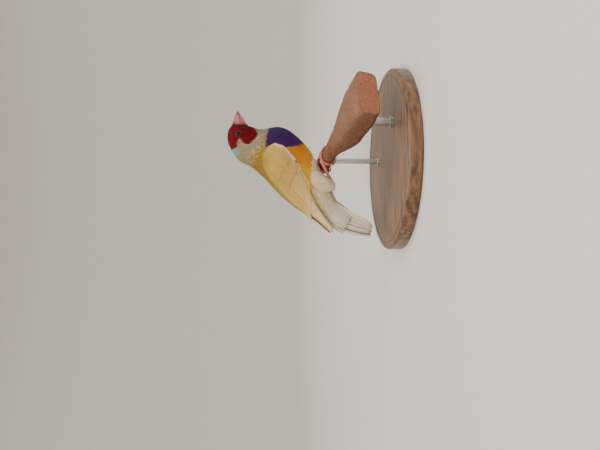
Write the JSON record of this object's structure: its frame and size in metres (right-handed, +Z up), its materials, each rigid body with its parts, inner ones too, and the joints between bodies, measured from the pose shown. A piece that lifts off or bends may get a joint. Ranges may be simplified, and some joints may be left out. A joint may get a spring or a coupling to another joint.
{
  "type": "gouldian finch",
  "caption": "Life-size gouldian finch, a small grass finch with a red face, cone-shaped bill and folded wings, gripping a cut perch on a round display stand.",
  "frame": {"origin": "the centre of the round base's flat underside, which rests on the surface below", "axes": "+X is the way the bird faces, +Y its left side, and +Z up, square to the base's underside"},
  "size_m": [0.11, 0.11, 0.1064],
  "materials": {
    "crimson_plumage": "soft matte feathers",
    "pale_plumage": "soft matte feathers",
    "violet_plumage": "soft matte feathers",
    "olive_plumage": "smooth matte feathers",
    "cream_plumage": "soft matte feathers",
    "bill_horn": "satin horn",
    "eye": "glossy",
    "leg_skin": "matte scaly skin",
    "sanded_perch": "rough sanded",
    "stand_wood": "satin",
    "stand_rod": "satin"
  },
  "bodies": {
    "root": {"head": "crimson_plumage", "bill_upper": "bill_horn", "bill_lower": "bill_horn", "eye_left": "eye", "eye_right": "eye", "neck": "pale_plumage", "torso": "violet_plumage", "wing_left": "olive_plumage", "wing_right": "olive_plumage", "tail": "cream_plumage", "thigh_left": "cream_plumage", "thigh_right": "cream_plumage", "shank_left": "leg_skin", "shank_right": "leg_skin", "foot_left": "leg_skin", "foot_right": "leg_skin", "perch": "sanded_perch", "stand_base": "stand_wood", "stand_rod_front": "stand_rod", "stand_rod_back": "stand_rod"}
  },
  "joints": []
}
